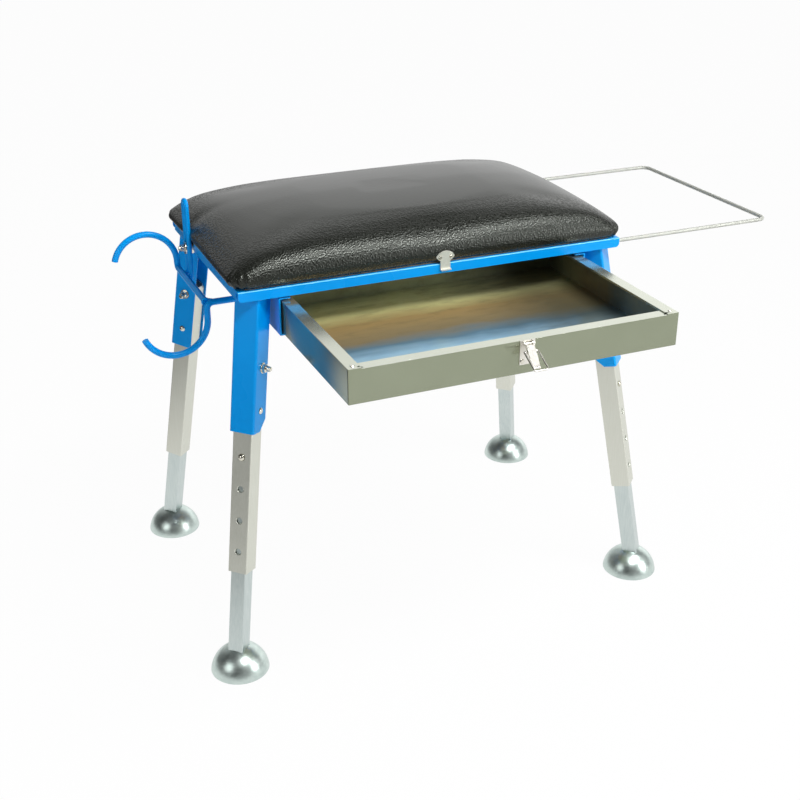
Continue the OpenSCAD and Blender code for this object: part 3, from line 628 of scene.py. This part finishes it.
# %% Round the sheet and tube parts
# The rails' rounded folds take the paler blue, a painted highlight along their edges.
for part in ("rail_front", "rail_back", "rail_left", "rail_right"):
    rounded(part, 0.0003, folds=0.001, edge=blue_edge_highlight)
for part in ("guide_left", "guide_right"):
    rounded(part, 0.0005)
for c in CORNERS:
    rounded("channel_" + c, 0.0003, folds=0.002)
    rounded("mid_tube_" + c, 0.0003)
    rounded("inner_tube_" + c, 0.0003)
for part in ("catch_plate", "latch_base", "latch_lever", "pivot_bolts", "rest_nut"):
    rounded(part, 0.00025)
bpy.data.objects["round_catch_plate"].data.materials[0] = satin_nickel

# %% Drawer tray with painted reflections and shade inside
INSIDE, RIM, WALL = 1, 2, 3
skin, floor_height = 0.001, 0.004
tray = rounded("drawer_tray", 0.0004, folds=0.0009, outside=True)
for finish in (drawer_inside, drawer_rim, drawer_wall):
    tray.data.materials.append(finish)
low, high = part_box("drawer_tray")
for face in tray.data.polygons:
    x, y, z = face.center
    within = low.x + skin < x < high.x - skin and low.y + skin < y < high.y - skin
    if z < low.z + floor_height and face.normal.z > 0.5:
        face.material_index = INSIDE
    elif within and low.z + skin < z < high.z - 0.0015:
        face.material_index = WALL
    elif z > high.z - 0.0016:
        face.material_index = RIM
for slot, place in ((INSIDE, "floor"), (RIM, "rim"), (WALL, "wall")):
    print(place, "faces", sum(face.material_index == slot for face in tray.data.polygons))

# %% [markdown]
# ## Relief cuts in the drawer's rim
# Where two rims are folded towards each other, the maker punches a small hole at the bend, so that
# the sheet doesn't tear. From above it shows as a dark half round beside each front corner. It is
# cut with a boolean: a cylinder is halved at the front wall, so that the wall stays whole. A thin
# box cuts the seam between the side sheet and the front sheet, a dark line down each front corner.


# %% Relief cuts
def half_round(place, radius, depth):
    """A cylinder whose front half is cut away."""
    bpy.ops.object.select_all(action="DESELECT")
    bpy.ops.mesh.primitive_cylinder_add(vertices=24, radius=radius, depth=depth, location=place)
    bpy.ops.object.transform_apply(location=True)
    bpy.ops.object.mode_set(mode="EDIT")
    bpy.ops.mesh.select_all(action="SELECT")
    bpy.ops.mesh.bisect(plane_co=place, plane_no=(0, -1, 0), clear_outer=True, use_fill=True)
    bpy.ops.object.mode_set(mode="OBJECT")
    return bpy.context.object


def thin_box(place, size):
    """A box for a seam."""
    bpy.ops.object.select_all(action="DESELECT")
    bpy.ops.mesh.primitive_cube_add(size=1, location=place)
    bpy.context.object.scale = size
    return bpy.context.object


def cut(piece, cutter):
    """Takes the cutter out of a piece and removes the cutter."""
    apply(piece, "BOOLEAN", operation="DIFFERENCE", solver="EXACT", object=cutter)
    bpy.data.objects.remove(cutter)


sheet, hole_from_end, hole_radius = 0.0012, 0.0148, 0.0034
seam_back, seam_size = 0.0018, (0.0012, 0.0006, 0.06)
for end, inward in ((low.x, 1), (high.x, -1)):
    at_bend = Vector((end + inward * hole_from_end, low.y + 2 * sheet, high.z))
    hole = half_round(at_bend, hole_radius, 0.008)
    seam = thin_box((end, low.y + seam_back, (low.z + high.z) / 2), seam_size)
    cut(tray, hole)
    cut(tray, seam)
shade_flat_and_round(tray)
print("tray faces", len(tray.data.polygons))

# %% [markdown]
# ## Weld beads
# The ring, the leg channels, the guides and the rod rest are welded to each other and painted
# together, so each joint shows a soft ripple under the paint. A bead is modelled as it is laid:
# a ring of ten points is extruded step by step along the joint, and each step swells and shrinks a
# little. One subdivision then melts the steps into ripples.

# %% A bead
beads = []


def bead(start, end, radius):
    """A straight bead from one point to another."""
    start, end = Vector(start), Vector(end)
    steps = max(4, round((end - start).length / radius / 1.1))
    step = (end - start) / steps
    turn = step.to_track_quat("Z", "Y").to_euler()
    narrow = 0.5
    bpy.ops.object.select_all(action="DESELECT")
    bpy.ops.mesh.primitive_circle_add(
        vertices=10, radius=radius * narrow, fill_type="NGON", location=start, rotation=turn,
    )
    bpy.ops.object.transform_apply(location=True, rotation=True)
    bpy.ops.object.mode_set(mode="EDIT")
    bpy.ops.mesh.select_all(action="SELECT")
    size = narrow
    for k in range(steps):
        wanted = narrow if k == steps - 1 else 1.0 + 0.12 * (-1) ** k
        bpy.ops.mesh.extrude_region_move(TRANSFORM_OT_translate={"value": step})
        here = start + step * (k + 1)
        bpy.ops.transform.resize(value=(wanted / size,) * 3, center_override=here)
        size = wanted
    bpy.ops.mesh.select_all(action="SELECT")
    bpy.ops.mesh.normals_make_consistent(inside=False)
    bpy.ops.object.mode_set(mode="OBJECT")
    beads.append(bpy.context.object)


def collar(place, along, rod, radius):
    """A bead round a rod where it meets a plate or another rod."""
    turn = Vector(along).to_track_quat("Z", "Y").to_euler()
    bpy.ops.object.select_all(action="DESELECT")
    bpy.ops.mesh.primitive_torus_add(
        major_segments=14, minor_segments=8, major_radius=rod, minor_radius=radius,
        location=place, rotation=turn,
    )
    bpy.ops.object.transform_apply(location=True, rotation=True)
    bpy.ops.object.mode_set(mode="EDIT")
    bpy.ops.mesh.select_all(action="SELECT")
    bpy.ops.transform.vertex_random(offset=0.0004, seed=len(beads))
    bpy.ops.object.mode_set(mode="OBJECT")
    beads.append(bpy.context.object)


# %% Beads where the channels meet the ring
half_length = 0.009
ring_low, ring_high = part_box("rail_front")
joint = {row["name"]: row for row in frame["joints"]}
for c, (sx, sy) in CORNERS.items():
    top = [v.co for v in nodes["channel_" + c].data.vertices if v.co.z > ring_high.z - 0.003]
    down = Vector(joint["telescope_" + c]["axis"])
    shift = down * ((ring_low.z - top[0].z) / down.z)
    by_front = max(top, key=lambda v: sy * v.y) + shift
    by_side = max(top, key=lambda v: sx * v.x) + shift
    for middle, way in ((by_front, Vector((sx, 0, 0))), (by_side, Vector((0, sy, 0)))):
        bead(middle - way * half_length, middle + way * half_length, 0.0018)
print("beads", len(beads))

# %% Beads on the rod rest
rod = 0.004
_, rod_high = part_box("rest_rod")
hook_low, hook_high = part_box("rest_hook")
guide_low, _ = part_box("guide_left")
loop_low, loop_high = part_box("rest_loop")
rest_x, cross_y, cross_z = rod_high.x - rod, hook_low.y + rod, hook_high.z - rod
collar((guide_low.x, cross_y, cross_z), (1, 0, 0), rod + 0.0003, 0.0014)
collar((rest_x, cross_y + rod + 0.0006, cross_z), (0, 1, 0), rod, 0.0017)
bead(
    (rest_x + 0.002, cross_y + 0.006, cross_z + 0.0015),
    (rest_x + 0.010, cross_y + 0.002, cross_z + 0.0005), 0.0026,
)
for y in (loop_low.y + 0.003, loop_high.y - 0.003):
    bead((rod_high.x, y - rod, cross_z + 0.003), (rod_high.x, y + rod, cross_z + 0.003), 0.0017)
print("beads", len(beads))


# %% Join the beads
def joined(pieces, name):
    """Joins pieces into one."""
    bpy.ops.object.select_all(action="DESELECT")
    for piece in pieces:
        piece.select_set(True)
    bpy.context.view_layer.objects.active = pieces[0]
    bpy.ops.object.join()
    bpy.ops.object.transform_apply(location=True, rotation=True, scale=True)
    pieces[0].name = name
    return pieces[0]


welds = joined(beads, "weld_beads")
apply(welds, "SUBSURF", levels=1, render_levels=1)
bpy.ops.object.shade_smooth()
welds.data.materials.append(blue_paint)
seat(welds, "frame")
print("weld faces", len(welds.data.polygons))

# %% [markdown]
# ## Threads
# The pivot bolts stand a few millimetres out of their lock nuts, and so does the rod rest's bolt.
# A thread could be a bump in the finish, but its teeth show against the light, so it is real: a
# small diamond is wound round an axis with the Screw modifier, one pitch for each turn, and closed
# at its ends.

# %% A thread
threads = []


def thread(start, way, radius, pitch, turns):
    """A ridge wound round a bolt, from a point on its axis onwards."""
    bpy.ops.object.select_all(action="DESELECT")
    bpy.ops.mesh.primitive_circle_add(
        vertices=4, radius=pitch * 0.5, location=(radius, 0, 0), rotation=(math.pi / 2, 0, 0),
    )
    bpy.ops.object.transform_apply(location=True, rotation=True)
    piece = bpy.context.object
    apply(
        piece, "SCREW", axis="Z", screw_offset=pitch, iterations=turns,
        steps=20, render_steps=20,
    )
    bpy.ops.object.mode_set(mode="EDIT")
    bpy.ops.mesh.select_all(action="SELECT")
    bpy.ops.mesh.remove_doubles(threshold=0.000001)
    bpy.ops.mesh.fill_holes(sides=4)
    bpy.ops.mesh.normals_make_consistent(inside=False)
    bpy.ops.object.mode_set(mode="OBJECT")
    turn = Vector(way).to_track_quat("Z", "Y").to_matrix().to_4x4()
    piece.matrix_world = Matrix.Translation(start) @ turn
    alone(piece)
    bpy.ops.object.transform_apply(location=True, rotation=True, scale=True)
    threads.append(piece)


# %% Threads on the pivot bolts and on the rest's bolt
one_bolt, from_end = 0.04, 0.0048
for c in CORNERS:
    pivot = Vector(joint["fold_" + c]["pos_m"])
    out = -Vector(joint["lock_press_" + c]["axis"])
    bolt = [v.co - pivot for v in nodes["pivot_bolts"].data.vertices]
    reach = max(v.dot(out) for v in bolt if v.length < one_bolt)
    thread(pivot + out * (reach - from_end), out, 0.003, 0.0008, 4)
rest_low, rest_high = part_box("rest_bolt")
middle = (rest_low + rest_high) / 2
thread(Vector((rest_low.x + 0.0026, middle.y, middle.z)), (-1, 0, 0), 0.0025, 0.0006, 3)
turned = joined(threads, "bolt_threads")
turned.data.materials.append(fastener)
seat(turned, "frame")
print("thread faces", len(turned.data.polygons))

# %% [markdown]
# ## Cross recesses in the catch plate's screws
# The two small screws of the catch plate have a cross recess, which shows as a dark star. A cross
# of two thin bars is cut out of each head.


# %% Cross recesses
def cross_cutter(place, size, depth):
    """Two crossed bars with broken edges."""
    bars = []
    for angle in (0.3, 0.3 + math.pi / 2):
        bpy.ops.object.select_all(action="DESELECT")
        bpy.ops.mesh.primitive_cube_add(size=1, location=place, rotation=(0, angle, 0))
        bpy.context.object.scale = (size, depth, size * 0.24)
        bpy.ops.object.transform_apply(location=True, rotation=True, scale=True)
        bpy.ops.object.mode_set(mode="EDIT")
        bpy.ops.mesh.select_all(action="SELECT")
        bpy.ops.mesh.bevel(offset=size * 0.06, segments=1)
        bpy.ops.object.mode_set(mode="OBJECT")
        bars.append(bpy.context.object)
    return bars


screws = rounded("catch_screws", 0.00015)
low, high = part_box("catch_screws")
head = (high.z - low.z) / 2
for x in (low.x + head, high.x - head):
    front = Vector((x, low.y, (low.z + high.z) / 2))
    for bar in cross_cutter(front, head * 1.2, 0.0012):
        cut(screws, bar)
print("screw faces", len(screws.data.polygons))

# %% [markdown]
# ## The cover of the seat
# The seat is foam on a board under stretched vinyl. A swollen cover can't be drawn well by hand,
# so its form starts as rings of a rounded rectangle and a cloth simulation blows it up a little
# from inside, while its lower edge is held where it is stapled. The start form is slightly small,
# and a cap on how far a point may move keeps the cover close to the size of the CAD cushion.

# %% The outline of the cover
seat_low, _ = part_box("cushion")
ring_top = seat_low.z
half_w, half_d, corner = 0.258, 0.1525, 0.024
base_w, base_d, base_corner = 0.251, 0.149, 0.016
wall, crown, lean = 0.0125, 0.0445, -0.0018
drawn_in = 0.0018
dent_deep, dent_at, dent_wide = 0.005, 0.048, 0.014
arc_points, long_points, short_points = 8, 74, 40


def outline(w, d, r):
    """Points round a rectangle with round corners, its sides drawn in, the left one dented."""
    points = []
    for quarter in range(4):
        sx = 1 if quarter in (0, 3) else -1
        sy = 1 if quarter in (0, 1) else -1
        for k in range(arc_points):
            a = math.radians(90 * quarter + 90 * k / arc_points)
            points.append((sx * (w - r) + r * math.cos(a), sy * (d - r) + r * math.sin(a)))
        along, across = (w - r, d) if quarter in (0, 2) else (d - r, w)
        steps = long_points if quarter in (0, 2) else short_points
        for k in range(steps):
            t = k / steps
            u = along * (1 - 2 * t)
            dent = dent_deep * math.exp(-((u - dent_at) / dent_wide) ** 2) if quarter == 1 else 0
            v = across - drawn_in * math.sin(math.pi * t) ** 2 - dent
            points.append(((u, v), (-v, u), (-u, -v), (v, -u))[quarter])
    return points


def crown_height(x, y):
    """How high the crown stands: long slopes at the ends, steep rolls at the front and back."""
    ends = max(1 - abs(x / half_w) ** 4.6, 0) ** 0.5
    sides = max(1 - abs(y / half_d) ** 1.5, 0) ** 0.2
    return crown * ends * sides


# %% Start form
top_rows = 60
points = []
rows = 0
for t in (0, 0.2, 0.4, 0.6, 0.8, 1):
    bulge = math.sin(math.pi / 2 * t)
    w, d = base_w + (half_w - base_w) * bulge, base_d + (half_d - base_d) * bulge
    r = base_corner + (corner - base_corner) * bulge
    level = ring_top + 0.0002 + wall * t
    points += [(x + lean * bulge, y, level) for x, y in outline(w, d, r)]
    rows += 1
for k in range(1, top_rows):
    s = math.sqrt(1 - (k / top_rows) ** 2)
    for x, y in outline(half_w, half_d, corner):
        x, y = x * s, y * s
        risen = crown_height(x, y) * math.sqrt(1 - s**14)
        points.append((x + lean, y, ring_top + wall + risen))
    rows += 1
count = len(points) // rows
faces = []
for row in range(0, (rows - 1) * count, count):
    for i in range(count):
        j = (i + 1) % count
        faces.append((row + i, row + j, row + count + j, row + count + i))
faces.append(tuple(range(count))[::-1])
faces.append(tuple((rows - 1) * count + i for i in range(count)))
mesh = bpy.data.meshes.new("seat_cover")
mesh.from_pydata(points, [], faces)
cover = bpy.data.objects.new("seat_cover", mesh)
bpy.context.scene.collection.objects.link(cover)
apply(cover, "REMESH", mode="VOXEL", voxel_size=0.004, use_smooth_shade=True)
print("cover points", len(cover.data.vertices), [round(v * 1000, 1) for v in cover.dimensions])


# %% Even out a movement
def evened(mesh, shift, passes):
    """Averages each point's movement with its neighbours', which takes small buckles out."""
    ends = np.empty(2 * len(mesh.edges), int)
    mesh.edges.foreach_get("vertices", ends)
    first, second = ends.reshape(-1, 2).T
    neighbours = np.bincount(ends, minlength=len(mesh.vertices))[:, None]
    for _ in range(passes):
        total = np.zeros_like(shift)
        for k in range(3):
            total[:, k] = np.bincount(first, shift[second, k], len(shift))
            total[:, k] += np.bincount(second, shift[first, k], len(shift))
        shift = 0.5 * shift + 0.5 * total / neighbours
    return shift


# %% Blow it up
def swell(piece, frames, pressure, cap, held_below):
    """Runs a cloth simulation on a closed form and keeps its capped result."""
    held = piece.vertex_groups.new(name="held")
    before = np.array([v.co[:] for v in piece.data.vertices])
    for v in piece.data.vertices:
        if v.co.z < held_below:
            held.add([v.index], 1.0, "REPLACE")
    cloth = piece.modifiers.new("cloth", "CLOTH")
    cloth.settings.vertex_group_mass = "held"
    cloth.settings.use_pressure = True
    cloth.settings.uniform_pressure_force = pressure
    cloth.settings.quality = 6
    cloth.settings.tension_stiffness = 20
    cloth.settings.compression_stiffness = 20
    cloth.settings.bending_stiffness = 8
    cloth.collision_settings.use_collision = False
    cloth.settings.effector_weights.gravity = 0
    for step in range(1, frames + 1):
        bpy.context.scene.frame_set(step)
    graph = bpy.context.evaluated_depsgraph_get()
    moved = piece.evaluated_get(graph).data
    after = np.array([v.co[:] for v in moved.vertices])
    shift = evened(piece.data, after - before, passes=40)
    far = np.linalg.norm(shift, axis=1)
    shift *= np.minimum(1, cap / np.maximum(far, 1e-9))[:, None]
    shift *= np.clip((before[:, 2] - held_below) / 0.015, 0, 1)[:, None]
    piece.modifiers.remove(cloth)
    piece.data.vertices.foreach_set("co", (before + shift).astype(np.float32).ravel())
    piece.data.update()
    bpy.context.scene.frame_set(1)
    print("swelled by", round(float(far.max()) * 1000, 1), "mm at most, before the cap")


swell(cover, frames=20, pressure=2, cap=0.003, held_below=ring_top + 0.006)
apply(cover, "SMOOTH", factor=0.5, iterations=3)


# %% Gathers at the corners
def gather(piece):
    """Small folds where the cover is drawn round each corner and stapled under."""
    for v in piece.data.vertices:
        x, y, z = v.co
        cx, cy = math.copysign(half_w - corner, x), math.copysign(half_d - corner, y)
        dx, dy = (x - cx) * math.copysign(1, x), (y - cy) * math.copysign(1, y)
        if dx <= 0 or dy <= 0 or z > ring_top + 0.03:
            continue
        angle = math.atan2(dy, dx)
        fade = math.sin(2 * angle) ** 0.5 * max(0.0, 1 - (z - ring_top) / 0.028)
        fold = 0.0022 * fade * math.sin(angle * 15 + 1.5 * math.sin(1.0 + 60 * z))
        out = Vector((math.copysign(math.cos(angle), x), math.copysign(math.sin(angle), y), 0))
        v.co += out * fold


apply(cover, "SUBSURF", levels=1, render_levels=1)
gather(cover)
bpy.ops.object.shade_smooth()
cover.data.materials.clear()
cover.data.materials.append(vinyl)
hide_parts("cushion")
seat(cover, "frame")
print("cover", [round(v * 1000, 1) for v in cover.dimensions])

# %% [markdown]
# ## Checking the size
# The dressed stool must keep the CAD model's size, so its box is compared with the CAD box and the growth on each
# side is printed.

# %% Sizes
dressed = [list(corner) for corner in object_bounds()]
for which, new, old in zip(("low", "high"), dressed, cad_box):
    print("grown at its", which, [round((a - b) * 1000, 1) for a, b in zip(new, old)], "mm")
